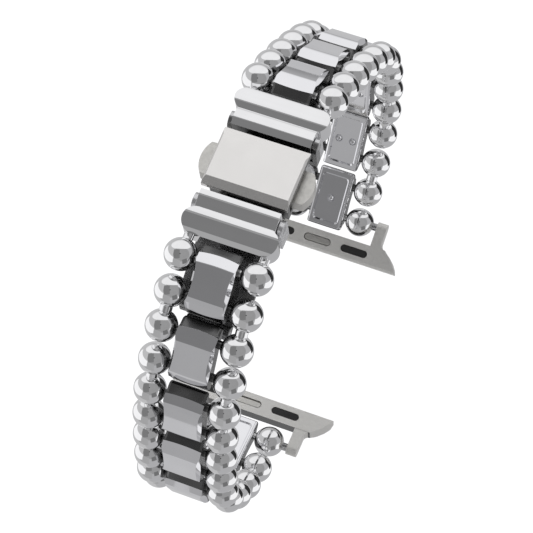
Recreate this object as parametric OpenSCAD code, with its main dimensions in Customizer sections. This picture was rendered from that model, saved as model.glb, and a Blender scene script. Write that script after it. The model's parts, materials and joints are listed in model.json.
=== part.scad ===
// Beaded metal watch bracelet, closed, standing on its edge.
// X runs along the clasp, -Y is the clasp's outward side, +Z is the wrist's axis.
// Every hinge pin is parallel to Z. Strap a leaves the clasp towards +X and strap b towards -X.
// Each strap is a chain of fourteen pins: blocks span pins 1-2, 3-4 and so on, and beaded side
// links span pins 2-3, 4-5 and so on. Pin 1 belongs to the clasp's end link, pin 14 to the lug.

/* [Beads and side links] */
// Diameter of a bead
bead_d = 4.5; // [4.2:0.02:4.6]
// Distance between the centres of the two bead rows
row_spacing = 10.7; // [10.6:0.1:12]
// Diameter of the neck that joins two beads
neck_d = 1.4; // [1:0.1:1.8]
// Distance between the two pins of a side link
link_pitch = 4.9; // [4.8:0.05:5.4]
// Diameter of the strap's hinge pins
pin_d = 1.2; // [0.9:0.05:1.3]

/* [Blocks] */
// Distance between the two pins of a block
block_pitch = 5; // [4.8:0.1:6]
// Width of a block across the strap
block_w = 5.6; // [4.8:0.1:5.8]
// Height of a block's outer face over its pins
block_out = 2.04; // [1.6:0.02:2.1]
// Depth of a block's inner face under its pins
block_in = 1; // [0.9:0.05:1.05]
// How far a block reaches past each pin
block_reach = 2.2; // [1.9:0.05:2.3]
// How far the outer face reaches past each pin, over its sloping bevel
bevel_reach = 1.45; // [1.1:0.05:1.6]
// Drop of the sloping bevel
bevel_drop = 0.74; // [0.4:0.02:0.9]
// Width of the chamfer along a block's long sides
side_chamfer = 0.35; // [0.1:0.05:0.6]
// How far a block's ends bow out across its width
end_bow = 0.25; // [0.15:0.05:0.5]
// Size of the bevels at the ends of the inner face
inner_bevel = 0.3; // [0.2:0.05:0.35]
// Width of the raised border round the inner face
inner_border = 0.55; // [0.4:0.05:0.9]
// Depth of the inner face's recess
inner_recess = 0.12; // [0.05:0.01:0.2]
// Diameter of the dimples in the inner face
dimple_d = 0.9; // [0.5:0.1:1.2]

/* [Clasp end links] */
// Gap between the cover and the end link's short bar
bar_gap = 0.75; // [0.6:0.05:1]
// Distance of the first strap pin from the long bar
neck_l = 2.65; // [2.5:0.05:3]
// Width along the strap of the end link's long rounded bar
long_bar_w = 3.4; // [3:0.1:3.6]
// Length across the strap of the long bar
long_bar_l = 13.4; // [12.8:0.1:14]
// Width along the strap of the short bar beside the cover
short_bar_w = 2.6; // [2.4:0.1:2.8]
// Length across the strap of the short bar
short_bar_l = 11.3; // [10.8:0.1:11.4]
// Height of the long bar's crest over the pins
long_bar_out = 2.6; // [2.2:0.1:2.8]
// Height of the short bar's crest over the pins
short_bar_out = 2.9; // [2.6:0.1:3]
// Depth of both bars under the pins
bar_in = 0.8; // [0.7:0.05:0.9]
// Rise of each bar's crown
crown = 0.45; // [0.2:0.05:0.6]
// Diameter of the pin that hangs the end link in its wing
ear_pin_d = 1.1; // [0.8:0.1:1.3]
// Distance of that pin from the short bar's clasp side
ear_pin_in = 1.25; // [1.2:0.05:1.4]
// Height of that pin over the strap pins
ear_pin_out = 0.9; // [0.8:0.05:1.1]
// Radius of the wing's ears
ear_r = 1.2; // [1.1:0.05:1.3]
// Thickness of the wing's ears
wing_ear_t = 0.6; // [0.5:0.05:0.7]

/* [Cover and latch] */
// Length of the cover along the strap
cover_l = 8.8; // [8:0.1:9]
// Width of the cover across the strap
cover_w = 12.2; // [11.6:0.1:12.6]
// Thickness of the cover
cover_t = 1.1; // [0.9:0.1:1.3]
// Height of the cover's face over the pins
cover_out = 3; // [2.9:0.05:3.3]
// Width of the sloping bevels along the cover's two ends
cover_bevel = 1.2; // [0.6:0.1:1.6]
// Width of the narrow bevels along the cover's two sides
cover_side_bevel = 0.3; // [0.2:0.05:0.4]
// Drop of the cover's bevels
cover_drop = 0.35; // [0.2:0.05:0.5]
// Length of the latch box along the strap
box_l = 6.6; // [6.2:0.1:6.8]
// Width of the latch box across the strap
box_w = 11.2; // [10.6:0.1:11.6]
// Wall of the latch box
box_wall = 0.6; // [0.4:0.05:0.7]
// Thickness of a push-button
button_t = 2; // [1.6:0.1:2.2]
// Length of a push-button along the strap
button_l = 5.2; // [4.6:0.1:5.3]
// How far a push-button stands out of the latch box
button_out = 2.4; // [2:0.1:3]
// Travel of a push-button
button_travel = 1.2; // [0.8:0.1:1.3]
// Wire of the button springs
button_wire = 0.3; // [0.2:0.05:0.35]
// Radius of the button springs, to the middle of the wire
spring_r = 0.7; // [0.6:0.05:0.8]
// Diameter of the rivets that hold the latch box
rivet_d = 1; // [0.8:0.1:1.2]
// Distance of each rivet from the clasp's middle, across the strap
rivet_z = 4.4; // [4.3:0.05:4.6]

/* [Folding blades] */
// Outer radius of the wing blades, which follow the wrist
blade_r = 40.3; // [40:0.05:40.4]
// Depth of the wing blades behind the pins, at the clasp's middle
blade_in = 1.7; // [1.6:0.05:1.8]
// Thickness of the blades
blade_t = 0.75; // [0.6:0.05:0.8]
// Gap between the wing blades and the base blade
blade_gap = 0.3; // [0.2:0.05:0.35]
// Width of the wing blades
wing_w = 10; // [9:0.1:10.4]
// Width of the base blade
base_w = 9.2; // [8.6:0.1:10]
// Distance of the blade hinges from the clasp's middle
hinge_x = 19.4; // [19:0.1:19.6]
// Diameter of the hinge knuckles
knuckle_d = 1.9; // [1.7:0.1:2]
// Diameter of the blade hinge pins
hinge_pin_d = 0.8; // [0.6:0.05:0.9]
// Half the width of a wing's knuckle, with its clearance
knuckle_z = 1.15; // [1:0.05:1.3]
// Half the width of the base's pair of knuckles
knuckle_end = 3.1; // [2.9:0.1:3.4]
// Thickness of the wings' cross-plates and of the base's platform
plate_t = 1; // [0.9:0.05:1.1]
// Distance of a wing's prongs from the clasp's middle, across the strap
prong_in = 3.2; // [3.1:0.05:3.3]
// Width of a prong
prong_w = 1; // [0.8:0.05:1.1]
// Thickness of a prong
prong_t = 0.7; // [0.5:0.05:0.75]
// Height of the prongs' tips over the cross-plates
catch_t = 0.6; // [0.5:0.05:0.65]

/* [Lug adapters] */
// Length of a lug adapter across the strap, tip to tip
lug_l = 27; // [26:0.1:28]
// Width of a lug adapter's bar along the strap
lug_bar_w = 3.2; // [3:0.1:3.6]
// Distance of the watch-side edge from the last pin
lug_edge = 6.3; // [6.2:0.1:6.8]
// Height of the skin-side face over the last pin
lug_in = 1; // [0.9:0.05:1.3]
// Depth of the outer face under the last pin
lug_out = 1.3; // [1:0.05:1.5]
// Size of the bevels along the adapter's edges
lug_corner = 0.3; // [0.2:0.05:0.4]
// Clear width between the two ears
ear_gap = 16.6; // [15.2:0.1:17]
// Thickness of an ear
ear_t = 1.6; // [1.2:0.1:1.8]
// Length of a slot in the skin-side face
slot_l = 4.4; // [4:0.1:4.8]
// Width of a slot
slot_w = 1.2; // [1:0.05:1.4]
// Distance between neighbouring slots
slot_spacing = 6.1; // [5.6:0.1:6.3]
// Depth of a slot
slot_depth = 1.5; // [1.2:0.1:1.6]
// Travel of the sprung latch in the middle slot
latch_travel = 0.3; // [0.1:0.05:0.35]
// Thickness of the sprung latch
latch_t = 0.7; // [0.6:0.05:0.8]
// Thickness of the leaf spring under it
leaf_t = 0.15; // [0.1:0.01:0.2]
// Radius of the scooped flare between an ear and its tip
flare_r = 2; // [1.6:0.1:2.2]
// Radius of the ears round the last pin
ear_body_r = 0.95; // [0.9:0.05:1]

/* [Fits] */
// Radial clearance of a pin that turns in its bore
pin_gap = 0.04; // [0.02:0.01:0.08]
// Radial clearance of a pin that is held in its hole
seat_gap = 0.02; // [0.01:0.01:0.04]
// Clearance between neighbouring parts that slide
slide_gap = 0.1; // [0.05:0.01:0.15]
// Depth of the pads and the latch under the adapter's skin side
flush_gap = 0.05; // [0.02:0.01:0.08]

/* [Hidden] */
$fn = 48;
BLOCKS = 7;
// Direction of each step from pin to pin, in degrees from the clasp's plane, and last of the lug
A_STEPS = [33, 35, 47, 54, 68, 73, 77, 83, 100, 114, 126, 141, 165, 174];
B_STEPS = [37, 40, 44, 47, 53, 65, 80, 92, 102, 114, 132, 140, 143, 162];
// Length of cutters that go right through
THROUGH = 2 * lug_l;
// Overlap of solids that are one piece
MERGE = 0.05;
bead_r = bead_d / 2;
row_z = row_spacing / 2;
pin_end_z = row_z + bead_r / 2;
short_bar_x = [cover_l / 2 + bar_gap, cover_l / 2 + bar_gap + short_bar_w];
long_bar_x = [short_bar_x[1] - MERGE, short_bar_x[1] - MERGE + long_bar_w];
first_pin_x = long_bar_x[1] + neck_l;

SIDES = ["a", "b"];

function steps(side) = side == "a" ? A_STEPS : B_STEPS;
function pitch(i) = i % 2 == 0 ? block_pitch : link_pitch;
// Place of pin i, counted from 0, before the strap is mirrored
function pin_at(side, i) = i == 0 ? [first_pin_x, 0]
    : pin_at(side, i - 1) + pitch(i - 1) * [cos(steps(side)[i - 1]), sin(steps(side)[i - 1])];
function along(angle, p) = [p.x * cos(angle) - p.y * sin(angle), p.x * sin(angle) + p.y * cos(angle)];
LAST = 2 * BLOCKS - 1;
// Outline of the lug adapter's bar, seen along Z: the skin side is +y
lug_section = [[lug_edge - lug_bar_w, lug_in], [lug_edge - lug_corner, lug_in],
    [lug_edge, lug_in - lug_corner], [lug_edge, 2 * lug_corner - lug_out],
    [lug_edge - 2 * lug_corner, -lug_out], [lug_edge - lug_bar_w + 2 * lug_corner, -lug_out],
    [lug_edge - lug_bar_w, lug_corner - lug_out]];
function reach_x(side) = max([for (i = [0 : LAST]) pin_at(side, i).x]) + bead_r;
function lug_top(side) = max([for (p = lug_section)
    (pin_at(side, LAST) + along(steps(side)[LAST], p)).y]);
function reach_y(side) = max(max([for (i = [0 : LAST]) pin_at(side, i).y]) + bead_r, lug_top(side));
centre_x = (reach_x("a") - reach_x("b")) / 2;
centre_y = (max(reach_y("a"), reach_y("b")) - cover_out) / 2;

// Clasp frame: the origin is midway between the first pins
module at_clasp(side = "a") translate([-centre_x, -centre_y, lug_l / 2])
    if (side == "b") mirror([1, 0, 0]) children(); else children();
// Frame of step i: the origin is its first pin, +x runs along the strap and +y points at the wrist
module at_step(side, i) at_clasp(side)
    translate([pin_at(side, i).x, pin_at(side, i).y, 0]) rotate([0, 0, steps(side)[i]]) children();
module prism(h) linear_extrude(height = h, center = true) children();
// Extrudes a plan drawn as (along the strap, across the strap) through the strap's thickness
module plan(h) rotate([90, 0, 0]) linear_extrude(height = h, center = true) children();
// Extrudes a section drawn as (across the strap, through its thickness) along the strap
module section(l) rotate([0, 90, 0]) prism(l) children();
module both_rows(z) for (s = [-1, 1]) translate([0, 0, s * z]) children();
module mirrored_rows() for (s = [0, 1]) mirror([0, 0, s]) children();
module hole(r, p = [0, 0]) translate([p.x, p.y, 0]) cylinder(r = r, h = THROUGH, center = true);
module rod(d, z, p = [0, 0]) translate([p.x, p.y, 0]) cylinder(d = d, h = 2 * z, center = true);
module bar_between(low, high) translate(low) cube(high - low);
module slot_outline(l, w) {
    square([w, l - w], center = true);
    for (s = [-1, 1]) translate([0, s * (l - w) / 2]) circle(d = w);
}

// Strap

block_mid = block_pitch / 2;
// Side view: flat outer face, long bevel, steep end, and a small bevel to the inner face
module block_profile() {
    bevel_y = bevel_drop - block_out;
    end_x = block_mid + block_reach;
    half = [[block_mid, -block_out], [block_mid + bevel_reach, bevel_y],
        [(block_mid + bevel_reach + end_x) / 2, bevel_y / 2], [end_x, block_in / 5],
        [end_x, block_in - inner_bevel], [end_x - inner_bevel, block_in]];
    polygon(concat(half, [for (i = [len(half) - 1 : -1 : 0]) [-half[i].x, half[i].y]]));
}
module block_section() {
    w = block_w / 2;
    polygon([[-w, block_in], [w, block_in], [w, 2 * side_chamfer - block_out],
        [w - side_chamfer, -block_out], [side_chamfer - w, -block_out],
        [-w, 2 * side_chamfer - block_out]]);
}
module block(side, n) {
    bow_r = pow(block_w / 2, 2) / (2 * end_bow);
    length = block_pitch + 2 * block_reach;
    recess = [(length - 2 * inner_border - 2 * end_bow) / 2, block_w / 2 - inner_border];
    color("silver") at_step(side, 2 * n - 2) translate([block_mid, 0, 0]) difference() {
        intersection() {
            prism(block_w) block_profile();
            section(length) block_section();
            translate([bow_r - length / 2, 0, 0]) plan(THROUGH) circle(r = bow_r);
            translate([length / 2 - bow_r, 0, 0]) plan(THROUGH) circle(r = bow_r);
        }
        for (s = [-1, 1]) hole(pin_d / 2 + pin_gap, [s * block_mid, 0]);
        bar_between([-recess.x, block_in - inner_recess, -recess.y], [recess.x, 2 * block_in, recess.y]);
        dimples = n == BLOCKS ? [0] : [-block_w / 5, block_w / 5];
        for (z = dimples) translate([0, block_in - inner_recess, z])
            plan(dimple_d / 2) circle(d = dimple_d);
    }
}
module bead_with_hole() difference() {
    sphere(d = bead_d);
    hole(pin_d / 2 + seat_gap);
}
// Blind hole of a bead, which opens towards the block
module bead_hole() translate([0, 0, -bead_d])
    cylinder(r = pin_d / 2 + seat_gap, h = bead_d + bead_r / 2 + seat_gap);
module strap_pin() rod(pin_d, pin_end_z);
module facing_rows() mirrored_rows() translate([0, 0, row_z]) children();
module side_link(side, n) color("gainsboro") at_step(side, 2 * n - 1) {
    facing_rows() difference() {
        union() {
            for (x = [0, link_pitch]) translate([x, 0, 0]) sphere(d = bead_d);
            rotate([0, 90, 0]) cylinder(d = neck_d, h = link_pitch);
        }
        for (x = [0, link_pitch]) translate([x, 0, 0]) bead_hole();
    }
    for (x = [0, link_pitch]) translate([x, 0, 0]) strap_pin();
}

// Clasp's end links, which carry the first pins

ear_pin = [short_bar_x[0] + ear_pin_in, -ear_pin_out];
ear_z = short_bar_l / 2 + slide_gap;

// A bar's side view: a crown over square sides
module crowned(x, out) {
    w = x[1] - x[0];
    r = (w * w / 4 + crown * crown) / (2 * crown);
    intersection() {
        translate([x[0], -out]) square([w, out + bar_in]);
        translate([(x[0] + x[1]) / 2, r - out]) circle(r = r, $fn = 96);
    }
}
module end_link(side) color("silver") at_clasp(side) difference() {
    union() {
        prism(short_bar_l) crowned(short_bar_x, short_bar_out);
        intersection() {
            prism(long_bar_l) crowned(long_bar_x, long_bar_out);
            translate([(long_bar_x[0] + long_bar_x[1]) / 2, 0, 0]) plan(THROUGH)
                slot_outline(long_bar_l, long_bar_w);
        }
        for (s = [-1, 1]) translate([first_pin_x, 0, s * row_z]) {
            sphere(d = bead_d);
            rotate([0, -90, 0]) cylinder(d = neck_d, h = neck_l + long_bar_w / 4);
        }
    }
    hole(ear_pin_d / 2 + pin_gap, ear_pin);
    facing_rows() translate([first_pin_x, 0, 0]) bead_hole();
}
module first_bead_pin(side) color("gray") at_clasp(side) translate([first_pin_x, 0, 0]) strap_pin();
module end_link_pin(side) color("gray") at_clasp(side)
    rod(ear_pin_d, ear_z + wing_ear_t - seat_gap, ear_pin);

// Folding blades

blade_centre = blade_r + blade_in;
function blade_y(r, x) = blade_centre - sqrt(r * r - x * x);
base_r = blade_r - blade_t - blade_gap;
hinge_r = base_r + blade_gap / 2;
hinge = [hinge_x, blade_y(hinge_r, hinge_x)];
// Bent strip between two places along the clasp
module bent_strip(r, x0, x1) intersection() {
    translate([0, blade_centre]) difference() {
        circle(r = r, $fn = 192);
        circle(r = r - blade_t, $fn = 192);
    }
    translate([x0, 0]) square([x1 - x0, blade_centre]);
}
// Where the blades end beside the knuckles, and how far the narrow tongues start before that
blade_stop = hinge_x - knuckle_d / 2 - blade_gap;
tongue_x = blade_stop - blade_t;
wing_knuckle_z = knuckle_z - slide_gap / 2;
plate_y = [blade_in - slide_gap, blade_in - slide_gap + plate_t];
catch_y = [plate_y[0] - catch_t, plate_y[0]];
prong_x = [box_l / 2 + 3 * slide_gap, box_l / 2 + 3 * slide_gap + prong_t];
prong_z = [prong_in, prong_in + prong_w];
ear_end_z = ear_z + wing_ear_t;
// Bent strip with its knuckles, cross-plate, two ears and the two prongs that the buttons catch
module wing(side) color("dimgray") at_clasp(side) difference() {
    ear_x = ear_pin.x + ear_r;
    union() {
        prism(wing_w) bent_strip(blade_r, ear_pin.x, blade_stop);
        prism(2 * wing_knuckle_z) bent_strip(blade_r, tongue_x, hinge_x);
        rod(knuckle_d, wing_knuckle_z, hinge);
        bar_between([ear_pin.x - ear_r, plate_y[0], -ear_end_z], [ear_x, plate_y[1], ear_end_z]);
        mirrored_rows() {
            translate([ear_pin.x, ear_pin.y, ear_z]) cylinder(r = ear_r, h = wing_ear_t);
            bar_between([ear_pin.x - ear_r, ear_pin.y, ear_z], [ear_x, plate_y[1], ear_end_z]);
            bar_between([prong_x[0], plate_y[0], prong_z[0]], [ear_pin.x, plate_y[1], prong_z[1]]);
            bar_between([prong_x[0], catch_y[0], prong_z[0]], [prong_x[1], plate_y[1], prong_z[1]]);
        }
    }
    hole(hinge_pin_d / 2 + pin_gap, hinge);
    hole(ear_pin_d / 2 + seat_gap, ear_pin);
}
module wing_hinge_pin(side) color("gray") at_clasp(side) rod(hinge_pin_d, knuckle_end, hinge);

module rivet_holes(gap) both_rows(rivet_z) plan(THROUGH) circle(d = rivet_d + 2 * gap);
module clasp_base() color("dimgray") at_clasp() difference() {
    platform_z = box_w / 2 - box_wall;
    knuckle_w = knuckle_end - knuckle_z;
    union() {
        prism(base_w) bent_strip(base_r, -blade_stop, blade_stop);
        bar_between([-box_l / 2, plate_y[1], -platform_z],
            [box_l / 2, blade_y(base_r - blade_t / 2, 0), platform_z]);
        for (s = [0, 1]) mirror([s, 0, 0]) both_rows((knuckle_end + knuckle_z) / 2) {
            prism(knuckle_w) bent_strip(base_r, tongue_x, hinge_x);
            rod(knuckle_d, knuckle_w / 2, hinge);
        }
    }
    for (s = [-1, 1]) hole(hinge_pin_d / 2 + seat_gap, [s * hinge.x, hinge.y]);
    rivet_holes(seat_gap);
}

// Latch box, cover and push-buttons

box_y = [cover_t - cover_out, plate_y[1]];
button_y = [box_y[0] + box_wall + slide_gap, box_y[0] + box_wall + slide_gap + button_t];
floor_y = catch_y[1] + slide_gap;
rib_z = box_wall / 2;
// Milled box: a pocket for each button on either side of a rib, and slots for the prongs
module latch_box() color("gray") at_clasp() difference() {
    bar_between([-box_l / 2, box_y[0], -box_w / 2], [box_l / 2, box_y[1], box_w / 2]);
    mirrored_rows() {
        bar_between([box_wall - box_l / 2, box_y[0] + box_wall, rib_z],
            [box_l / 2 - box_wall, floor_y, box_w]);
        bar_between([-box_l, catch_y[0] - slide_gap, prong_z[0] - button_travel - slide_gap],
            [box_l, floor_y, prong_z[1] + slide_gap]);
    }
    rivet_holes(seat_gap);
}
module box_rivets() color("gray") at_clasp() both_rows(rivet_z) rotate([-90, 0, 0])
    translate([0, 0, floor_y]) cylinder(d = rivet_d, h = blade_y(base_r - blade_t, 0) - floor_y);
// Outline of a plate with a bevelled outer side, over its half length and its bevel's width
module bevelled(half, bevel) polygon([[-half, cover_drop - cover_out], [bevel - half, -cover_out],
    [half - bevel, -cover_out], [half, cover_drop - cover_out], [half, box_y[0]], [-half, box_y[0]]]);
module clasp_cover() color("white") at_clasp() intersection() {
    prism(cover_w) bevelled(cover_l / 2, cover_bevel);
    section(cover_l) bevelled(cover_w / 2, cover_side_bevel);
}
button_z = box_w / 2;
// The part of a button inside the box, with the crossbar that stands before the wings' prongs
module button(s) color("darkgray") at_clasp() mirror([0, 0, s]) {
    stem_x = box_l / 2 - box_wall - slide_gap;
    stem_z = button_z - button_travel - slide_gap;
    r = (button_l * button_l / 4 + button_out * button_out) / (2 * button_out);
    bar_between([-stem_x, button_y[0], prong_z[0]], [stem_x, button_y[1], stem_z]);
    intersection() {
        translate([0, (button_y[0] + button_y[1]) / 2, button_z + button_out - r])
            plan(button_t) circle(r = r);
        bar_between([-button_l / 2, button_y[0], stem_z - MERGE], [button_l / 2, button_y[1], lug_l]);
    }
    bar_between([-stem_x, button_y[1] - MERGE, prong_z[0]], [stem_x, catch_y[1], prong_z[1]]);
    bar_between([slide_gap - prong_x[0], catch_y[0], prong_z[0]],
        [prong_x[0] - slide_gap, catch_y[1], prong_z[1]]);
}
module button_lower() button(1);
module button_upper() button(0);

// Coil between the box's rib and a button, as one swept tube
coil_turns = 4;
coil_rings = 10;
coil_sides = 6;
module coil(length) {
    rings = coil_turns * coil_rings;
    rise = length - button_wire;
    points = [for (i = [0 : rings]) for (j = [0 : coil_sides - 1])
        let (a = 360 * i / coil_rings, b = 360 * j / coil_sides, r = spring_r + button_wire / 2 * cos(b))
        [r * cos(a), r * sin(a), button_wire / 2 * (1 + sin(b)) + rise * i / rings]];
    sides = [for (i = [0 : rings - 1]) for (j = [0 : coil_sides - 1])
        let (k = (j + 1) % coil_sides, p = i * coil_sides)
        for (t = [[p + j, p + j + coil_sides, p + k], [p + k, p + j + coil_sides, p + k + coil_sides]]) t];
    caps = [[for (j = [0 : coil_sides - 1]) j],
        [for (j = [coil_sides - 1 : -1 : 0]) rings * coil_sides + j]];
    polyhedron(points, concat(sides, caps), convexity = 6);
}
module button_spring(s) color("gold") at_clasp() mirror([0, 0, s])
    translate([0, (button_y[0] + button_y[1]) / 2, rib_z]) coil(prong_z[0] - rib_z);
module button_spring_lower() button_spring(1);
module button_spring_upper() button_spring(0);

// Lug adapters

lug_tip_z = lug_l / 2;
ear_in = ear_gap / 2;
ear_out = ear_in + ear_t;
lug_mid = lug_edge - lug_bar_w / 2;
lug_pin_z = ear_in + 5 * ear_t / 8;
lug_back = lug_edge - lug_bar_w;
// Half of the adapter's plan, from its middle past the ear and its scooped flare to the tip
module lug_half_plan() {
    tip = 2 * lug_corner;
    root_x = lug_back - flare_r / 2;
    difference() {
        polygon([[lug_back, -MERGE], [lug_edge, -MERGE], [lug_edge, lug_tip_z - tip],
            [lug_edge - tip, lug_tip_z], [lug_edge - 2 * tip, lug_tip_z],
            [lug_back + tip, ear_out + flare_r], [root_x, ear_out + flare_r / 2], [root_x, ear_out],
            [-ear_body_r, ear_out], [-ear_body_r, ear_in], [lug_back, ear_in]]);
        translate([root_x, ear_out + flare_r]) circle(r = flare_r);
    }
}
module lug(side) color("darkgray") at_step(side, LAST) difference() {
    intersection() {
        union() {
            cylinder(r = ear_body_r, h = lug_l, center = true);
            bar_between([0, -ear_body_r, -lug_tip_z], [lug_mid, ear_body_r, lug_tip_z]);
            prism(lug_l) polygon(lug_section);
        }
        plan(THROUGH) for (t = [0, 1]) mirror([0, t]) lug_half_plan();
    }
    for (k = [-1 : 1]) translate([lug_mid, lug_in, k * slot_spacing])
        plan(2 * slot_depth) slot_outline(slot_l, slot_w);
    cylinder(r = pin_d / 2 + seat_gap, h = 2 * (lug_pin_z + seat_gap), center = true);
}
module lug_pin(side) color("gray") at_step(side, LAST) rod(pin_d, lug_pin_z);
module lug_beads(side) color("gainsboro") at_step(side, LAST) both_rows(row_z) bead_with_hole();
// What fills a slot, from its flush outer side down
module slot_filler(thickness, gap) translate([lug_mid, lug_in - flush_gap - thickness / 2, 0])
    plan(thickness) slot_outline(slot_l - 2 * gap, slot_w - 2 * gap);
module lug_pads(side) color("black") at_step(side, LAST)
    both_rows(slot_spacing) slot_filler(slot_depth - flush_gap - seat_gap, seat_gap);
module lug_latch(side) color("silver") at_step(side, LAST) slot_filler(latch_t, slide_gap);
// Bowed leaf between the slot's floor and the latch
module lug_latch_spring(side) color("gold") at_step(side, LAST) {
    leaf_l = slot_l - slot_w / 2;
    rise = slot_depth - 2 * flush_gap - latch_t - latch_travel;
    r = (leaf_l * leaf_l / 4 + rise * rise) / (2 * rise);
    translate([lug_mid, lug_in - slot_depth + rise - r, 0]) rotate([0, 90, 0])
        linear_extrude(height = slot_w / 2, center = true) intersection() {
            difference() {
                circle(r = r, $fn = 96);
                circle(r = r - leaf_t, $fn = 96);
            }
            translate([-leaf_l / 2, r - rise]) square([leaf_l, 1]);
        }
}

clasp_base();
latch_box();
clasp_cover();
box_rivets();
button_lower();
button_upper();
button_spring_lower();
button_spring_upper();
for (s = SIDES) {
    wing(s);
    wing_hinge_pin(s);
    end_link(s);
    end_link_pin(s);
    first_bead_pin(s);
    lug(s);
    lug_pin(s);
    lug_beads(s);
    lug_pads(s);
    lug_latch(s);
    lug_latch_spring(s);
    for (n = [1 : BLOCKS]) block(s, n);
    for (n = [1 : BLOCKS - 1]) side_link(s, n);
}
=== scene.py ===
import json
import math

import bpy
import bmesh
from mathutils import Matrix, Vector


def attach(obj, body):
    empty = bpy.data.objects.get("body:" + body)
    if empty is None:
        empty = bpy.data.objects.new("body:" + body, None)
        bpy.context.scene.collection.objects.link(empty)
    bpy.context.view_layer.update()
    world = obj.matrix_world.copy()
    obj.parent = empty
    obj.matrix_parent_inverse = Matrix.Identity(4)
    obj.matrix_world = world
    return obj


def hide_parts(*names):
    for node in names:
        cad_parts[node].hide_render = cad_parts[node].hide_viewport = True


# Beaded metal watch bracelet, closed, standing on its edge, from the clasp out to the two lugs.
# Every new piece is drawn in millimetres, with x along the strap, y towards the wrist and z
# across, and its mesh is then moved to its place in the frame.
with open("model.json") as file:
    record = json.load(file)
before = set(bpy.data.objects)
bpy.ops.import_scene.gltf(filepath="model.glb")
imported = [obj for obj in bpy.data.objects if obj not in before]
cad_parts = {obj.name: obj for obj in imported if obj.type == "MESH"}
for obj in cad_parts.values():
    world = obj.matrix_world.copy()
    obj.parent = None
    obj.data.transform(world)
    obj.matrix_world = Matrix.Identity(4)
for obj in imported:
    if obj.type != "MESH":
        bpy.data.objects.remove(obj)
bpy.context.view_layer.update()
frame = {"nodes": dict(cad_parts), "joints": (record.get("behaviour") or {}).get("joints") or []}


# Latch box and base blade: the box is milled from bar and riveted to the middle of a blade bent
# from strip, with rolled knuckles at both ends. All of it is polished steel, coloured dark as
# painted shade for the shade and dark reflections beneath the strap and cover.
class Value:
    """One output socket of a material's nodes, with the usual arithmetic."""

    def __init__(self, tree, socket):
        self.tree = tree
        self.socket = socket

    def node(self, kind, settings, inputs, output=0):
        """Any other node, from its settings and the values or links of its sockets."""
        made = self.tree.nodes.new(kind)
        for key, setting in settings.items():
            setattr(made, key, setting)
        for key, given in inputs.items():
            if isinstance(given, Value):
                given.into(made.inputs[key])
            else:
                made.inputs[key].default_value = given
        return Value(self.tree, made.outputs[output])

    def into(self, socket):
        """Feeds another node's socket."""
        self.tree.links.new(self.socket, socket)

    def maths(self, operation, *terms):
        return self.node("ShaderNodeMath", {"operation": operation}, dict(enumerate(terms)))

    def __add__(self, other):
        return self.maths("ADD", self, other)

    def __sub__(self, other):
        return self.maths("SUBTRACT", self, other)

    def __rsub__(self, other):
        return self.maths("SUBTRACT", other, self)

    def __mul__(self, other):
        return self.maths("MULTIPLY", self, other)

    def __gt__(self, other):
        return self.maths("GREATER_THAN", self, other)

    def __lt__(self, other):
        return self.maths("LESS_THAN", self, other)

    def __abs__(self):
        return self.maths("ABSOLUTE", self)

    __radd__ = __add__
    __rmul__ = __mul__


def new_material(name):
    """A material, its shader, and the spot on the object in metres."""
    made = bpy.data.materials.new(name)
    made.use_nodes = True
    tree = made.node_tree
    spot = tree.nodes.new("ShaderNodeTexCoord").outputs["Object"]
    return made, tree.nodes["Principled BSDF"], Value(tree, spot)


def mix(factor, first, second):
    """A colour between two others."""
    return factor.node("ShaderNodeMix", {"data_type": "RGBA"},
                       {"Factor": factor, "A": first, "B": second}, "Result")


def polished(name, colour, roughness, metallic=1, wave=0.02, scale=300, bright=None):
    """Smooth metal that varies a little from spot to spot. With bright, which is a test of the
    spot and a colour, it is buffed to that colour where the test is passed."""
    made, shader, spot = new_material(name)
    cloud = spot.node("ShaderNodeTexNoise", {}, {"Vector": spot, "Scale": scale, "Detail": 2})
    dark, light = [[c * k for c in colour] + [1] for k in (0.96, 1.04)]
    shade = mix(cloud, dark, light)
    if bright:
        test, bright_colour = bright
        shade = mix(test(spot), shade, bright_colour + (1,))
    ripple = spot.node("ShaderNodeTexNoise", {}, {"Vector": spot, "Scale": scale / 2, "Detail": 1})
    bump = ripple.node("ShaderNodeBump", {},
                       {"Strength": wave, "Distance": 0.0001, "Height": ripple})
    shader.inputs["Metallic"].default_value = metallic
    shade.into(shader.inputs["Base Color"])
    (roughness * (cloud + 0.5)).into(shader.inputs["Roughness"])
    bump.into(shader.inputs["Normal"])
    return made


def only(obj):
    """Selects one object and nothing else."""
    bpy.ops.object.select_all(action="DESELECT")
    obj.select_set(True)
    bpy.context.view_layer.objects.active = obj


def dress(names, material):
    """Gives CAD nodes that keep their shape a material, soft edges and smooth curves."""
    for name in names:
        obj = frame["nodes"][name]
        obj.data.materials.clear()
        obj.data.materials.append(material)
        rounding = obj.modifiers.new("soft edges", "BEVEL")
        rounding.width = 0.0001
        rounding.segments = 2
        rounding.limit_method = "ANGLE"
        rounding.angle_limit = math.radians(40)
        only(obj)
        bpy.ops.object.shade_smooth_by_angle(angle=math.radians(30))


# Painted shade: blade, box and rivets get a dark colour for the shade beneath the strap.
BLADE_STEEL = polished("blade_steel", (0.22, 0.22, 0.22), 0.35, metallic=0.8)
dress(["clasp_base", "latch_box", "box_rivets"], BLADE_STEEL)


# Wings: strips bent like the base blade, with prongs that snap into the box and, at their inner
# end, ears for the end link's pin. Like the blade they are coloured dark as painted shade, and
# only the ears are buffed bright.
BETWEEN_EARS = Vector((-0.00055, 0, 0.0135))
EARS_ALONG = 0.0053
EARS_ACROSS = 0.0055


def on_ears(spot):
    """Whether a spot, in metres, is out where the ears are, both along the strap and across."""
    along = spot.node("ShaderNodeSeparateXYZ", {}, {"Vector": spot}, "X") - BETWEEN_EARS.x
    across = spot.node("ShaderNodeSeparateXYZ", {}, {"Vector": spot}, "Z") - BETWEEN_EARS.z
    return (abs(across) > EARS_ACROSS) * (abs(along) > EARS_ALONG)


# Painted shade: the wings are dark, and only the ears keep a bright polished colour.
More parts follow.
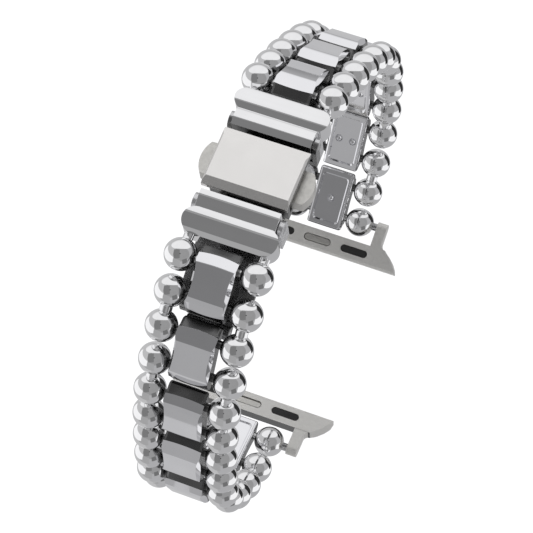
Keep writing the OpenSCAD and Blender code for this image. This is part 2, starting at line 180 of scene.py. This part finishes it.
WING_STEEL = polished("wing_steel", (0.22, 0.22, 0.22), 0.25, metallic=0.8, wave=0.25, scale=700,
                      bright=(on_ears, (0.72, 0.72, 0.73)))
dress(["wing_a", "wing_b"], WING_STEEL)


# Pins and springs: hard drawn wire, cut, and wound or bent. They are as bright as they leave the
# die, and only slivers of them show between the other pieces.
PIN_STEEL = polished("pin_steel", (0.55, 0.55, 0.55), 0.15)
dress(["wing_hinge_pin_a", "wing_hinge_pin_b", "end_link_pin_a", "end_link_pin_b",
       "first_bead_pin_a", "first_bead_pin_b", "lug_pin_a", "lug_pin_b"], PIN_STEEL)
SPRING_STEEL = polished("spring_steel", (0.45, 0.44, 0.42), 0.2)
dress(["button_spring_lower", "button_spring_upper",
       "lug_latch_spring_a", "lug_latch_spring_b"], SPRING_STEEL)


# Cover: a flat plate over the latch box, stamped and polished bright, with a long sloping bevel
# at each end and narrow ones at its sides, whose walls get painted shade for their dark
# reflections. It is brazed to the box.
COVER_LENGTH = 8.8
COVER_WIDTH = 12.2
COVER_FACE = -3
COVER_BACK = -1.9
END_BEVEL = (1.2, 0.35)
SIDE_BEVEL = (0.3, 0.25)


def new(primitive, **how):
    """A new object from one of Blender's primitives, alone in the selection."""
    bpy.ops.object.select_all(action="DESELECT")
    primitive(**how)
    return bpy.context.object


def apply_place():
    """Puts the selected piece's place and size into its mesh."""
    bpy.ops.object.transform_apply(location=True, rotation=True, scale=True)


def block_of(low, high):
    """A cuboid between two corners."""
    low, high = Vector(low), Vector(high)
    obj = new(bpy.ops.mesh.primitive_cube_add, size=1, location=(low + high) / 2)
    obj.scale = [abs(side) for side in high - low]
    apply_place()
    return obj


def cut(obj, point, normal):
    """Saws off what lies beyond a plane, on the side its normal points to."""
    only(obj)
    bpy.ops.object.mode_set(mode="EDIT")
    bpy.ops.mesh.select_all(action="SELECT")
    bpy.ops.mesh.bisect(plane_co=point, plane_no=normal, use_fill=True, clear_outer=True)
    bpy.ops.object.mode_set(mode="OBJECT")


def soften(obj, width, segments=2, angle=22):
    """Rounds every edge sharper than the angle and shades the curves smooth."""
    only(obj)
    if width:
        step = obj.modifiers.new("edges", "BEVEL")
        step.width = width
        step.segments = segments
        step.limit_method = "ANGLE"
        step.angle_limit = math.radians(angle)
        bpy.ops.object.modifier_apply(modifier=step.name)
    bpy.ops.object.mode_set(mode="EDIT")
    bpy.ops.mesh.select_all(action="SELECT")
    bpy.ops.mesh.remove_doubles(threshold=0.0005)
    bpy.ops.mesh.normals_make_consistent(inside=False)
    bpy.ops.object.mode_set(mode="OBJECT")
    bpy.ops.object.shade_smooth_by_angle(angle=math.radians(40))
    flats = obj.modifiers.new("flat faces", "WEIGHTED_NORMAL")
    flats.weight = 80
    flats.keep_sharp = True
    bpy.ops.object.modifier_apply(modifier=flats.name)


def paint_shade_on(obj, test):
    """Gives the faces that pass a test the second of the piece's materials, the painted shade."""
    for _ in range(2):
        obj.data.materials.append(None)
    for face in obj.data.polygons:
        face.material_index = int(test(face))


def place(pattern, name, where, body, nodes, slot, *materials):
    """A copy of a pattern with its own mesh, in its place, riding on its body."""
    obj = bpy.data.objects.new(name, pattern.data.copy())
    bpy.context.collection.objects.link(obj)
    obj.data.transform(where @ Matrix.Scale(0.001, 4))
    while len(obj.data.materials) < len(materials):
        obj.data.materials.append(None)
    for k, material in enumerate(materials):
        obj.data.materials[k] = material
    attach(obj, body)
    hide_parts(*nodes)


def axes(origin, along, inward):
    """The frame at a point, from its direction along the strap and towards the wrist."""
    x = Vector(along).normalized()
    y = Vector(inward).normalized()
    z = x.cross(y)
    return Matrix([(x[i], y[i], z[i], origin[i]) for i in range(3)] + [(0, 0, 0, 1)])


pins = {j["name"]: Vector(j["pos_m"]) for j in frame["joints"] if "pos_m" in j}
MIDDLE = (pins["strap_a_pin_1"] + pins["strap_b_pin_1"]) / 2
SIDES = {"a": 1, "b": -1}
AT_CLASP = {side: axes(MIDDLE, (sign, 0, 0), (0, 1, 0)) for side, sign in SIDES.items()}

CHROME_COVER = polished("chrome_clasp", (0.88, 0.865, 0.845), 0.06, metallic=0.8)
# Painted shade: this dark material stands for the shade on walls, slits and gaps between parts.
PAINTED_SHADE_STEEL = polished("dark_steel", (0.15, 0.15, 0.15), 0.25)
cover = block_of((-COVER_LENGTH / 2, COVER_FACE, -COVER_WIDTH / 2),
                 (COVER_LENGTH / 2, COVER_BACK, COVER_WIDTH / 2))
for s in (-1, 1):
    cut(cover, (s * (COVER_LENGTH / 2 - END_BEVEL[0]), COVER_FACE, 0),
        (s * END_BEVEL[1], -END_BEVEL[0], 0))
    cut(cover, (0, COVER_FACE, s * (COVER_WIDTH / 2 - SIDE_BEVEL[0])),
        (0, -SIDE_BEVEL[0], s * SIDE_BEVEL[1]))
soften(cover, 0.06, segments=3, angle=10)
# Painted shade: the cover's side walls get the dark material.
paint_shade_on(cover, lambda face: abs(face.normal.z) > 0.95)
place(cover, "cover", AT_CLASP["a"], "clasp", ["clasp_cover"], "chrome_clasp", CHROME_COVER,
      PAINTED_SHADE_STEEL)
bpy.data.objects.remove(cover)


# Push-buttons: sliding shoes with a domed end that stands out of the box's side. They are milled
# from bar, and left satin where the finger presses.
BUTTON_WIDTH = 4.8
BUTTON_OUTER = -1.2
BUTTON_INNER = 0.8
BUTTON_ROOT = 4.2
DOME_RADIUS = 4.2
DOME_MIDDLE = 3.8
CORNER_RADIUS = 0.8
# stem, bridge and crossbar: half the width, outer and inner side, and where each starts and ends
SHOE = [(2.6, -1.18, 0.78, 3.2, 4.3), (2.5, 0.7, 1.5, 3.24, 4.16), (3.4, 0.95, 1.6, 3.16, 4.2)]


def rod(radius, length, middle, along="Z", sides=64):
    """A round rod along an axis."""
    turn = {"X": (0, math.pi / 2, 0), "Y": (math.pi / 2, 0, 0), "Z": (0, 0, 0)}[along]
    obj = new(bpy.ops.mesh.primitive_cylinder_add, vertices=sides, radius=radius,
              depth=length, location=middle, rotation=turn)
    apply_place()
    return obj


def combine(obj, tool, operation):
    """Cuts, joins or trims a piece with another solid, which is used up."""
    bpy.ops.object.select_all(action="DESELECT")
    bpy.context.view_layer.objects.active = obj
    step = obj.modifiers.new("combine", "BOOLEAN")
    step.operation = operation
    step.object = tool
    step.solver = "EXACT"
    bpy.ops.object.modifier_apply(modifier=step.name)
    bpy.data.objects.remove(tool)


def pick(obj, kind, test):
    """Edit mode with only those faces or edges selected that pass a test."""
    only(obj)
    bpy.ops.object.mode_set(mode="EDIT")
    bpy.ops.mesh.select_all(action="DESELECT")
    bpy.ops.mesh.select_mode(type={"faces": "FACE", "edges": "EDGE"}[kind])
    shape = bmesh.from_edit_mesh(obj.data)
    for element in getattr(shape, kind):
        element.select_set(test(element))
    bmesh.update_edit_mesh(obj.data)


def round_picked(radius, segments):
    """Rounds the edges picked and leaves edit mode."""
    bpy.ops.mesh.bevel(offset=radius, segments=segments, affect="EDGES")
    bpy.ops.object.mode_set(mode="OBJECT")


def is_dome_corner(edge):
    """Whether an edge runs through the button's thickness at a corner of its dome."""
    ends = [vertex.co for vertex in edge.verts]
    at_side = all(abs(end.x) > BUTTON_WIDTH / 2 - 0.01 for end in ends)
    through = abs(ends[0].y - ends[1].y) > 1
    return at_side and through and ends[0].z > BUTTON_ROOT + 1


BUTTON_STEEL = polished("button_steel", (0.66, 0.65, 0.62), 0.38, wave=0.2, scale=2500)
button = block_of((-BUTTON_WIDTH / 2, BUTTON_OUTER, BUTTON_ROOT),
                  (BUTTON_WIDTH / 2, BUTTON_INNER, DOME_MIDDLE + DOME_RADIUS + 1))
dome = rod(DOME_RADIUS, 4, (0, (BUTTON_OUTER + BUTTON_INNER) / 2, DOME_MIDDLE), "Y", 128)
combine(button, dome, "INTERSECT")
pick(button, "edges", is_dome_corner)
round_picked(CORNER_RADIUS, 6)
for half, outer, inner, start, end in SHOE:
    combine(button, block_of((-half, outer, start), (half, inner, end)), "UNION")
soften(button, 0.12)
for name, side, body in (("button_up", "a", "button_upper"), ("button_down", "b", "button_lower")):
    place(button, name, AT_CLASP[side], body, [body], "button_steel", BUTTON_STEEL)
bpy.data.objects.remove(button)


# End links: each is two polished bars cast in one with two necks and a bead on either side. They
# hang in the wings' ears, and their crowns fall away from the cover.
FIRST_PIN = 13.75
ROW = 5.35
BEAD = 2.25
LONG_BAR = {"start": 7.7, "end": 11.1, "crest": -2.6, "length": 13.4}
SHORT_BAR = {"start": 5.15, "end": 7.75, "crest": -2.9, "length": 11.3}
BARS_INNER = 0.8
NECK_RADIUS = 0.7
NECK_START = 10.3
# for each side, the radius of the long and of the short bar's crown and where its top is
CROWNS = {"a": ((6, 0.15), (4.6, 0.15)), "b": ((3.44, 1.7), (2.1, 1.3))}
# a point on the flat that is ground along the long bar of side a, and its direction
GROUND_FLAT = ((10.6, -1.92, 0), (0.75, -0.66, 0))


def bead(middle):
    """A round bead about a point."""
    return new(bpy.ops.mesh.primitive_uv_sphere_add, segments=48, ring_count=32, radius=BEAD,
               location=middle)


def smooth_round():
    """Fixes the place of the round piece just made and shades it smooth."""
    apply_place()
    bpy.ops.object.shade_smooth_by_angle(angle=math.radians(40))


def crowned(start, end, crest, length, radius, top):
    """A bar cut from thick rod, so that its outer side is a shallow crown."""
    bar = block_of((start, crest, -length / 2), (end, BARS_INNER, length / 2))
    combine(bar, rod(radius, length + 1, (start + top, crest + radius, 0), "Z", 256), "INTERSECT")
    return bar


def round_ended(length, width, x, outer, inner, z=0, sides=32):
    """A solid with round ends, whose length lies across the strap."""
    obj = rod(width / 2, inner - outer, (x, (outer + inner) / 2, 0), "Y", sides)
    bpy.ops.object.mode_set(mode="EDIT")
    shape = bmesh.from_edit_mesh(obj.data)
    for vertex in shape.verts:
        vertex.co.z += math.copysign((length - width) / 2, vertex.co.z) + z
    bmesh.update_edit_mesh(obj.data)
    bpy.ops.object.mode_set(mode="OBJECT")
    return obj


def join(*objs):
    """Puts separate solids of one piece into one object."""
    bpy.ops.object.select_all(action="DESELECT")
    for obj in objs:
        obj.select_set(True)
    bpy.context.view_layer.objects.active = objs[0]
    bpy.ops.object.join()
    return objs[0]


CHROME = polished("chrome_beads", (0.90, 0.90, 0.905), 0.03)
for side, (long_crown, short_crown) in CROWNS.items():
    long_bar = crowned(*LONG_BAR.values(), *long_crown)
    outline = round_ended(LONG_BAR["length"], LONG_BAR["end"] - LONG_BAR["start"],
                          (LONG_BAR["start"] + LONG_BAR["end"]) / 2, -4.5, 4.5, sides=64)
    combine(long_bar, outline, "INTERSECT")
    if side == "a":
        cut(long_bar, *GROUND_FLAT)
    soften(long_bar, 0.22, segments=4, angle=14)
    short_bar = crowned(*SHORT_BAR.values(), *short_crown)
    soften(short_bar, 0.2, segments=4, angle=30)
    parts = [long_bar, short_bar]
    for s in (-1, 1):
        parts.append(rod(NECK_RADIUS, FIRST_PIN - NECK_START,
                         ((FIRST_PIN + NECK_START) / 2, 0, s * ROW), "X", 32))
        parts.append(bead((FIRST_PIN, 0, s * ROW)))
        smooth_round()
    end_link = join(*parts)
    # Painted shade: the short bar's wall facing the cover gets the dark material, for the dark slit.
    paint_shade_on(end_link, lambda face: face.center.x < SHORT_BAR["start"] + 0.15 and face.normal.x < -0.9)
    place(end_link, "end_link_piece_" + side, AT_CLASP[side], "end_link_" + side,
          ["end_link_" + side], "chrome_beads", CHROME, PAINTED_SHADE_STEEL)
    bpy.data.objects.remove(end_link)


# Side links: two beads cast on a short neck, one on each side of the strap, and the two hinge
# pins pressed into them. The beads are mirror polished, and the pins carry painted shade where
# they show between the blocks.
LINK = 4.9
PIN_RADIUS = 0.6
PIN_LENGTH = 12.6
# how far out from a bead's middle its neck starts, as a share of the bead's radius
NECK_SHARE = 0.95


def link_at(side, first):
    """The frame halfway between one of a strap's pins and the next."""
    sign = SIDES[side]
    start, end = (pins[f"strap_{side}_pin_{k}"] for k in (first, first + 1))
    along = end - start
    return axes((start + end) / 2, along, (-sign * along.y, sign * along.x, 0))


def bead_pair(z):
    """Two beads on a neck: one bead, opened where the neck starts, and its mirror image."""
    pair = bead((-LINK / 2, 0, 0))
    pair.rotation_euler = (0, math.pi / 2, 0)
    apply_place()
    bpy.ops.object.mode_set(mode="EDIT")
    bpy.ops.mesh.select_all(action="DESELECT")
    shape = bmesh.from_edit_mesh(pair.data)
    cap = [v for v in shape.verts if v.co.x > BEAD * NECK_SHARE - LINK / 2]
    bmesh.ops.delete(shape, geom=cap, context="VERTS")
    for edge in shape.edges:
        edge.select = edge.is_boundary
    shape.select_flush(True)
    bmesh.update_edit_mesh(pair.data)
    bpy.ops.mesh.extrude_region_move(TRANSFORM_OT_translate={"value": (0.3, 0, 0)})
    shape = bmesh.from_edit_mesh(pair.data)
    for vertex in shape.verts:
        if vertex.select:
            vertex.co.x = 0
    bmesh.update_edit_mesh(pair.data)
    bpy.ops.object.mode_set(mode="OBJECT")
    step = pair.modifiers.new("other bead", "MIRROR")
    step.merge_threshold = 0.001
    bpy.ops.object.modifier_apply(modifier=step.name)
    soften(pair, 0)
    pair.data.transform(Matrix.Translation((0, 0, z)))
    return pair


parts = [bead_pair(s * ROW) for s in (1, -1)]
for s in (-1, 1):
    pin = rod(PIN_RADIUS, PIN_LENGTH, (s * LINK / 2, 0, 0), "Z", 32)
    soften(pin, 0.08)
    parts.append(pin)
side_link = join(*parts)
# Painted shade: the pins between the beads get the dark material.
paint_shade_on(side_link, lambda face: abs(face.center.z) < ROW - BEAD)
for side in SIDES:
    for n in range(1, 7):
        place(side_link, f"bead_link_{side}{n}", link_at(side, 2 * n), f"side_link_{side}{n}",
              [f"side_link_{side}{n}"], "chrome_beads", CHROME, PAINTED_SHADE_STEEL)
bpy.data.objects.remove(side_link)


# Blocks: milled bars with a flat outer face, a long bevel at each end and narrow ones at the
# sides. The inner face has a raised border round a shallow recess with punched dimples. The side
# walls and end walls, in the shade between the blocks, are given painted shade.
BLOCK_HALF_LENGTH = 4.7
BLOCK_HALF_WIDTH = 2.8
BLOCK_OUTER = -2.04
BLOCK_INNER = 1
FLAT_HALF = 2.5
END_PROFILE = [(FLAT_HALF, BLOCK_OUTER), (3.85, -1.34), (4.25, -0.6), (BLOCK_HALF_LENGTH, 0.2)]
BORDER_ROUNDING = 0.35
BOW_START = 3.2
END_BOW = 0.35
FACE_CROWN = 0.07
# the grinding wheel's radius and lean, and how far its middle is from the block's outer edge
WHEEL_RADIUS = 22
WHEEL_LEAN = 1.107
WHEEL_OUTWARD = 0.447 * 21.64
WHEEL_SIDEWAYS = 0.894 * 21.64
RECESS_HALF_LENGTH = 4.05
RECESS_HALF_WIDTH = 2.35
RECESS_FLOOR = 0.74
DIMPLE_RADIUS = 0.6
# where across the block its dimples are, for one and for two of them
DIMPLES = {1: [0], 2: [-1.12, 1.12]}


def on_outer_face(spot):
    """Whether a spot of a block lies on its flat outer face, crowned or not."""
    return spot.y < BLOCK_OUTER + 2 * FACE_CROWN


def is_border_edge(edge):
    """Whether an edge borders the inner face, or runs from it down a corner of the block."""
    ends = [vertex.co for vertex in edge.verts]
    round_face = all(end.y > BLOCK_INNER - 0.01 for end in ends)
    at_end = all(abs(end.x) > BLOCK_HALF_LENGTH - 0.5 for end in ends)
    return round_face or at_end and ends[0].z == ends[1].z


def is_flat_end(edge):
    """Whether an edge is where the flat outer face meets a long bevel."""
    ends = [vertex.co for vertex in edge.verts]
    return all(abs(abs(end.x) - FLAT_HALF) < 0.01 and on_outer_face(end) for end in ends)


def is_hidden_wall(face):
    """Whether a face of a block is a side wall or an end wall, which get painted shade."""
    side = abs(face.normal.z) > 0.9 and abs(face.center.z) > BLOCK_HALF_WIDTH - 0.1
    end = abs(face.center.x) > 3.6 and -0.6 < face.normal.y < 0.4
    return side or end


def sawn_bar():
    """A bar cut to the block's outline, with a rounded border."""
    bar = block_of((-BLOCK_HALF_LENGTH, BLOCK_OUTER, -BLOCK_HALF_WIDTH),
                   (BLOCK_HALF_LENGTH, BLOCK_INNER, BLOCK_HALF_WIDTH))
    for s in (-1, 1):
        for (x0, y0), (x1, y1) in zip(END_PROFILE[:-1], END_PROFILE[1:]):
            cut(bar, (s * x0, y0, 0), (s * (y1 - y0), x0 - x1, 0))
    pick(bar, "edges", is_border_edge)
    round_picked(BORDER_ROUNDING, 4)
    return bar


def bow(bar):
    """Draws the ends in towards the bar's sides and crowns the flat face, between extra lines."""
    only(bar)
    bpy.ops.object.mode_set(mode="EDIT")
    for spacing, lines, across in ((0.5, 3, (1, 0, 0)), (0.47, 5, (0, 0, 1))):
        for k in range(-lines, lines + 1):
            bpy.ops.mesh.select_all(action="SELECT")
            bpy.ops.mesh.bisect(plane_co=Vector(across) * k * spacing, plane_no=across)
    shape = bmesh.from_edit_mesh(bar.data)
    for vertex in shape.verts:
        reach = (abs(vertex.co.x) - BOW_START) / (BLOCK_HALF_LENGTH - BOW_START)
        outward = min(1, max(0.1, 0.2 - vertex.co.y))
        depth = END_BOW * (vertex.co.z / BLOCK_HALF_WIDTH) ** 2 * max(0, reach) ** 0.5 * outward
        vertex.co.x -= math.copysign(depth, vertex.co.x)
        if on_outer_face(vertex.co):
            vertex.co.y += FACE_CROWN * (vertex.co.x / FLAT_HALF) ** 2
    bmesh.update_edit_mesh(bar.data)
    bpy.ops.object.mode_set(mode="OBJECT")
    pick(bar, "edges", is_flat_end)
    round_picked(0.5, 6)


def grind(bar, s):
    """Grinds the narrow bevel of one side with the rim of a large wheel."""
    wheel = new(bpy.ops.mesh.primitive_cylinder_add, vertices=256, radius=WHEEL_RADIUS, depth=12,
                location=(0, BLOCK_OUTER - WHEEL_OUTWARD, s * (BLOCK_HALF_WIDTH + WHEEL_SIDEWAYS)),
                rotation=(-s * WHEEL_LEAN, 0, 0))
    apply_place()
    combine(bar, wheel, "DIFFERENCE")


def sink(bar):
    """Sinks the recess, which narrows towards its floor, into the inner face."""
    recess = block_of((-RECESS_HALF_LENGTH, RECESS_FLOOR, -RECESS_HALF_WIDTH),
                      (RECESS_HALF_LENGTH, BLOCK_INNER + 0.26, RECESS_HALF_WIDTH))
    pick(recess, "edges", lambda e: abs(e.verts[0].co.y - e.verts[1].co.y) > 0.3)
    round_picked(0.6, 5)
    pick(recess, "faces", lambda face: face.normal.y < -0.9)
    bpy.ops.transform.resize(value=(0.9, 1, 0.83), center_override=(0, 0, 0))
    bpy.ops.object.mode_set(mode="OBJECT")
    combine(bar, recess, "DIFFERENCE")


def punch(bar, z):
    """Punches a dimple into the recess's floor."""
    ball = new(bpy.ops.mesh.primitive_uv_sphere_add, segments=24, ring_count=12,
               radius=DIMPLE_RADIUS, location=(0, RECESS_FLOOR + 0.1, z))
    apply_place()
    combine(bar, ball, "DIFFERENCE")


patterns = {}
for count, places in DIMPLES.items():
    piece = sawn_bar()
    bow(piece)
    for s in (-1, 1):
        grind(piece, s)
    sink(piece)
    for z in places:
        punch(piece, z)
    soften(piece, 0.08, segments=3)
    # Painted shade: the side and end walls get the dark material.
    paint_shade_on(piece, is_hidden_wall)
    patterns[count] = piece

CHROME_BLOCK = polished("chrome_blocks", (0.88, 0.88, 0.90), 0.05)
for side in SIDES:
    for n in range(1, 8):
        place(patterns[1 if n == 7 else 2], f"strap_block_{side}{n}", link_at(side, 2 * n - 1),
              f"block_{side}{n}", [f"block_{side}{n}"], "chrome_blocks", CHROME_BLOCK, PAINTED_SHADE_STEEL)
for piece in patterns.values():
    bpy.data.objects.remove(piece)


# Lug adapters: a satin bar milled with two ears for the last pin, flared tips, and three slots
# in its skin side. The outer two hold black pads, and the middle one a sprung metal latch.
# how far each adapter is turned from its side's direction at the clasp, in degrees
TURN = {"a": 174, "b": 162}
BAR_START = 3.1
BAR_END = 6.3
BAR_OUTER = -1.3
BAR_INNER = 1
BAR_LENGTH = 27
# points on a tip's outline, along the strap and across, and then planes that bevel the bar
FLARE = [(BAR_START, 10.6), (3.9, 11.6), (4.7, 12.4), (5.5, 12.95), (BAR_END, 13.3)]
EDGE_CUTS = [((6, 1, 0), (0.3, 0.3, 0)), ((6.3, -0.7, 0), (0.6, -0.6, 0)),
             ((3.6, -1.3, 0), (-0.3, -0.5, 0))]
EAR_RADIUS = 0.95
EAR_MIDDLE = 9.1
EAR_WIDTH = 1.6
FILLET = 0.8
FILLET_END = (2.3, 10.7)
SLOTS_AT = 4.7
SLOT_SPACING = 6.1
SLOT_LENGTH = 4.4
SLOT_WIDTH = 1.2
SLOT_FLOOR = -0.5
PAD_GAP = 0.04
PAD_SINK = 0.05
LATCH_GAP = 0.2
LATCH_OUTER = 0.2
LATCH_INNER = 0.9

lug = block_of((BAR_START, BAR_OUTER, -BAR_LENGTH / 2), (BAR_END, BAR_INNER, BAR_LENGTH / 2))
for point, normal in EDGE_CUTS:
    cut(lug, point, normal)
for s in (-1, 1):
    for (x0, z0), (x1, z1) in zip(FLARE[:-1], FLARE[1:]):
        cut(lug, (x0, 0, s * z0), (z0 - z1, 0, s * (x1 - x0)))
for s in (-1, 1):
    ear = rod(EAR_RADIUS, EAR_WIDTH, (0, 0, s * EAR_MIDDLE), "Z", 48)
    arm = block_of((0, -EAR_RADIUS, s * EAR_MIDDLE - EAR_WIDTH / 2),
                   (BAR_START + 0.5, EAR_RADIUS, s * EAR_MIDDLE + EAR_WIDTH / 2))
    combine(ear, arm, "UNION")
    gusset = block_of((FILLET_END[0], -EAR_RADIUS, s * (EAR_MIDDLE + EAR_WIDTH / 2 - 0.05)),
                      (BAR_START + 0.3, EAR_RADIUS, s * FILLET_END[1]))
    hollow = rod(FILLET, 3, (FILLET_END[0], 0, s * FILLET_END[1]), "Y", 48)
    combine(gusset, hollow, "DIFFERENCE")
    combine(ear, gusset, "UNION")
    combine(lug, ear, "UNION")
for k in (-1, 0, 1):
    slot = round_ended(SLOT_LENGTH, SLOT_WIDTH, SLOTS_AT, SLOT_FLOOR, 2, k * SLOT_SPACING)
    combine(lug, slot, "DIFFERENCE")
soften(lug, 0.1)
# Painted shade: the bar's inner end face, towards the ears, gets the dark material.
paint_shade_on(lug, lambda face: face.normal.x < -0.9 and BAR_START - 0.1 < face.center.x < BAR_START + 0.1)
pads = join(*[round_ended(SLOT_LENGTH - PAD_GAP, SLOT_WIDTH - PAD_GAP, SLOTS_AT,
                          SLOT_FLOOR + PAD_SINK, BAR_INNER - PAD_SINK, k * SLOT_SPACING)
              for k in (-1, 1)])
soften(pads, 0.08)
latch = round_ended(SLOT_LENGTH - LATCH_GAP, SLOT_WIDTH - LATCH_GAP, SLOTS_AT, LATCH_OUTER,
                    LATCH_INNER)
cut(latch, (SLOTS_AT + 0.2, LATCH_INNER, 0), (0.35, 1, 0))
soften(latch, 0.1)
loose = join(bead((0, 0, ROW)), bead((0, 0, -ROW)))
smooth_round()

LUG_STEEL = polished("satin_steel", (0.84, 0.83, 0.80), 0.42, metallic=0.55, wave=0.3, scale=3000)
RUBBER = polished("black_rubber", (0.02, 0.02, 0.02), 0.6, metallic=0, wave=0.2, scale=2000)
for side, sign in SIDES.items():
    turn = math.radians(TURN[side])
    along = (sign * math.cos(turn), math.sin(turn), 0)
    where = axes(pins[f"strap_{side}_pin_14"], along, (-sign * along[1], sign * along[0], 0))
    body = "lug_" + side
    place(lug, "adapter_" + side, where, body, [body], "satin_steel", LUG_STEEL, PAINTED_SHADE_STEEL)
    place(pads, "adapter_pads_" + side, where, body, ["lug_pads_" + side], "black_rubber", RUBBER)
    place(latch, "adapter_latch_" + side, where, "lug_latch_" + side, ["lug_latch_" + side],
          "button_steel", BUTTON_STEEL)
    place(loose, "loose_beads_" + side, where, body, ["lug_beads_" + side], "chrome_beads", CHROME)
for obj in (lug, pads, latch, loose):
    bpy.data.objects.remove(obj)


# Camera: as the photograph was taken, with a long lens from a little above, and rolled far over
# to its left. It stands about 0.3 m away.
VIEW_FROM = Vector((0.10743, -0.27062, 0.07524))
right = Vector((-0.3646, 0.0700, 0.9285)).normalized()
up = Vector((-0.8613, -0.4046, -0.3077))
up = (up - right * up.dot(right)).normalized()
back = right.cross(up)
camera = bpy.data.cameras.new("camera")
camera.lens = 140.31
camera.sensor_width = 36
camera.clip_start = 0.01
eye = bpy.data.objects.new("camera", camera)
bpy.context.collection.objects.link(eye)
eye.matrix_world = Matrix([(right[i], up[i], back[i], VIEW_FROM[i]) for i in range(3)]
                          + [(0, 0, 0, 1)])
bpy.context.scene.camera = eye


# Studio: a pale floor far below, a bright backdrop, and soft lights and screens out of the
# picture. Each is aimed by the spot, from -1 to 1 across and up, at which a polished bead shows
# its middle to the camera.
BACKDROP_DISTANCE = 0.9
BACKDROP_HALF = 0.13
FLOOR_HEIGHT = -1.5
FLOOR_HALF = 60


def glowing(name, level, fade=None):
    """A matt surface that gives off light, a little cloudy, and dimmer towards one side."""
    made, shader, spot = new_material(name)
    cloud = spot.node("ShaderNodeTexNoise", {}, {"Vector": spot, "Scale": 1.5, "Detail": 1})
    level = (cloud * 0.1 + 0.95) * level
    if fade:
        direction, start, end, full, dim = fade
        along = spot.node("ShaderNodeVectorMath", {"operation": "DOT_PRODUCT"},
                          {0: spot, 1: direction}, "Value")
        level = level * along.node("ShaderNodeMapRange", {}, {
            "Value": along, "From Min": start, "From Max": end, "To Min": full, "To Max": dim})
    light = level.node("ShaderNodeCombineColor", {},
                       {"Red": level, "Green": level, "Blue": level * 1.01})
    light.into(shader.inputs["Emission Color"])
    shader.inputs["Emission Strength"].default_value = 1
    shader.inputs["Base Color"].default_value = (0, 0, 0, 1)
    shader.inputs["Specular IOR Level"].default_value = 0
    shader.inputs["Roughness"].default_value = 1
    return made


def sheet(name, middle, across, rise, level, sides=4, fade=None):
    """A flat sheet of the studio, from its middle and its two half widths. With fade, which is a
    share of its half height and a level, it dims from there to its upper edge."""
    obj = new(bpy.ops.mesh.primitive_circle_add, vertices=sides, radius=1, fill_type="NGON")
    obj.name = name
    reach = math.sqrt(2) if sides == 4 else 1
    for k, vertex in enumerate(obj.data.vertices):
        turn = 2 * math.pi * (k + 0.5) / sides
        vertex.co = middle + reach * (math.cos(turn) * across + math.sin(turn) * rise)
    if fade:
        direction = rise.normalized()
        edge = middle.dot(direction)
        fade = (direction, edge + fade[0] * rise.length, edge + rise.length, 1, fade[1])
    obj.data.materials.append(glowing(name, level, fade))


def screen(name, spot, wide, high, distance, level, sides=4, fade=None):
    """A sheet facing the bracelet, which covers these angles to either side of its middle."""
    normal = right * spot[0] + up * spot[1] + back * math.sqrt(1 - spot[0] ** 2 - spot[1] ** 2)
    ray = 2 * normal.dot(back) * normal - back
    across = (right - right.dot(ray) * ray).normalized()
    sheet(name, ray * distance, across * distance * math.tan(math.radians(wide)),
          ray.cross(across) * distance * math.tan(math.radians(high)), level, sides, fade)


sheet("floor", Vector((0, 0, FLOOR_HEIGHT)), Vector((FLOOR_HALF, 0, 0)),
      Vector((0, FLOOR_HALF, 0)), 0.55)
sheet("backdrop", VIEW_FROM - back * BACKDROP_DISTANCE, right * BACKDROP_HALF,
      up * BACKDROP_HALF, 1.08)
screen("soft_box", (0.03, 0.63), 52, 44, 1.00, 0.9, 48, (0.35, 0.3))
screen("grey_screen", (-0.22, 0.01), 21, 29, 1.25, 0.21)
screen("pale_screen", (-0.306, -0.49), 26, 28, 1.30, 0.40)
screen("back_screen", (0.05, -0.02), 56, 48, 1.50, 0.33, 48)
screen("dark_wedge", (0.24, -0.42), 15, 16, 1.12, 0.18)
screen("left_light", (-0.74, -0.12), 22, 44, 1.05, 1)
screen("right_light", (0.72, -0.28), 17, 36, 1.12, 1)
screen("black_flag", (0.80, 0.26), 18, 26, 1.05, 0.03)
screen("lens_hood", (-0.02, 0.02), 3.5, 3.5, 1.12, 0.02, 16)

world = bpy.data.worlds.new("studio")
bpy.context.scene.world = world
world.use_nodes = True
world.node_tree.nodes["Background"].inputs["Color"].default_value = (0.45, 0.45, 0.46, 1)
bpy.context.scene.view_settings.view_transform = "Standard"
